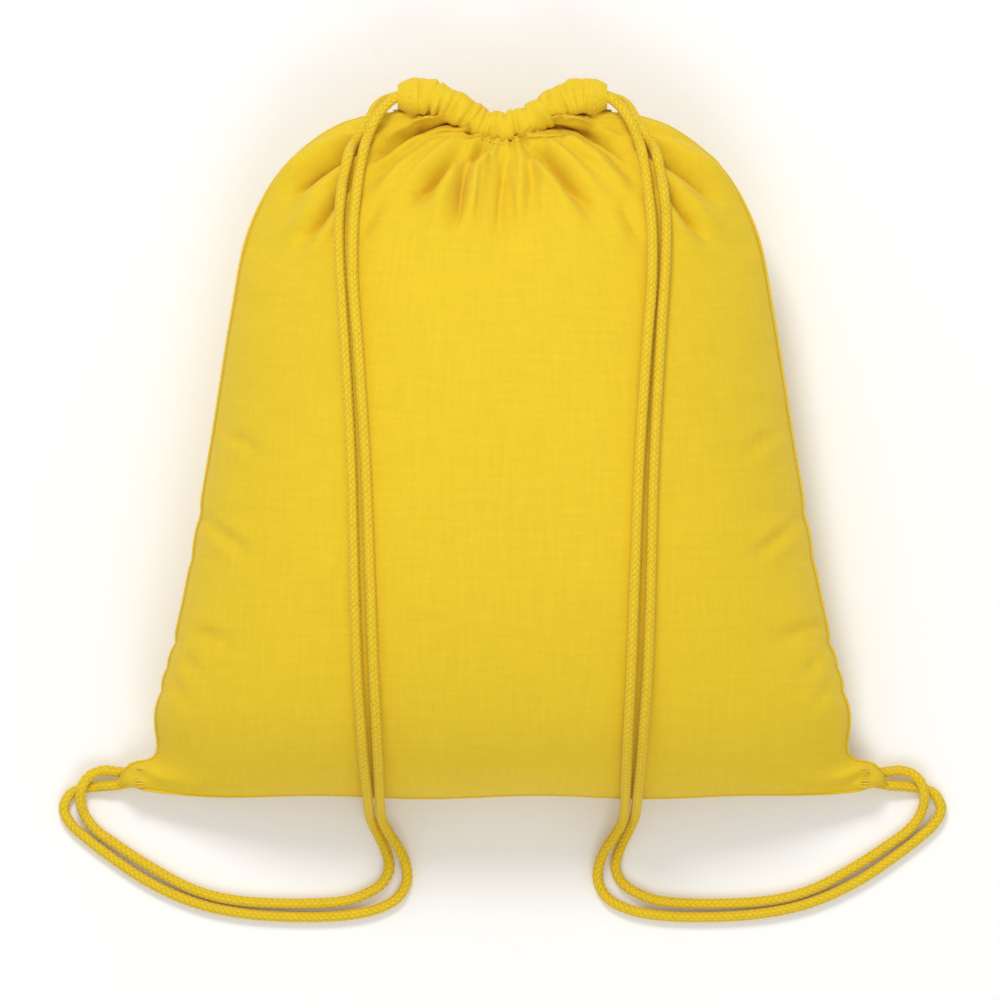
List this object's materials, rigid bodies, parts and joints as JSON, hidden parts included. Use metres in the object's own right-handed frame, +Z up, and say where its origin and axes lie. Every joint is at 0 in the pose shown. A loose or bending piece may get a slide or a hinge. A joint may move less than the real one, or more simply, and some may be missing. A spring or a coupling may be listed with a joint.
{
  "type": "drawstring backpack",
  "caption": "Filled cotton drawstring backpack lying strap side up, its mouth gathered by two braided cords that run down the panel to the bottom corners.",
  "frame": {"origin": "under the centre of the bag without its cords, on the surface that it lies on", "axes": "+X across the bag to its right bottom corner, +Y from the bottom seam to the gathered mouth, +Z up out of the strap-side panel"},
  "size_m": [0.4288, 0.4105, 0.122],
  "materials": {
    "cotton_cloth": "plain-weave cotton, matt",
    "braided_cord": "round braided cotton cord, matt",
    "sewing_thread": "twisted sewing thread"
  },
  "bodies": {
    "bag": {"bottom_seam": "cotton_cloth", "left_cord_inner_tail": "braided_cord", "left_cord_outer_tail": "braided_cord", "left_cord_tunnel_run": "braided_cord", "left_corner_tack": "sewing_thread", "left_mouth_tack": "sewing_thread", "left_side_seam": "cotton_cloth", "outer_casing": "cotton_cloth", "outer_hem_stitching": "sewing_thread", "outer_left_mouth_stitching": "sewing_thread", "outer_panel": "cotton_cloth", "outer_right_mouth_stitching": "sewing_thread", "right_cord_inner_tail": "braided_cord", "right_cord_outer_tail": "braided_cord", "right_cord_tunnel_run": "braided_cord", "right_corner_tack": "sewing_thread", "right_mouth_tack": "sewing_thread", "right_side_seam": "cotton_cloth", "strap_side_casing": "cotton_cloth", "strap_side_hem_stitching": "sewing_thread", "strap_side_left_mouth_stitching": "sewing_thread", "strap_side_panel": "cotton_cloth", "strap_side_right_mouth_stitching": "sewing_thread"},
    "left_cord": {"left_cord_inner_strand": "braided_cord", "left_cord_outer_strand": "braided_cord"},
    "right_cord": {"right_cord_inner_strand": "braided_cord", "right_cord_outer_strand": "braided_cord"}
  },
  "joints": [
    {"name": "left_draw", "type": "slide", "parent": "bag", "child": "left_cord", "axis": [-1, 0, 0], "range_m": [0, 0.015]},
    {"name": "right_draw", "type": "slide", "parent": "bag", "child": "right_cord", "axis": [1, 0, 0], "range_m": [0, 0.015]}
  ]
}
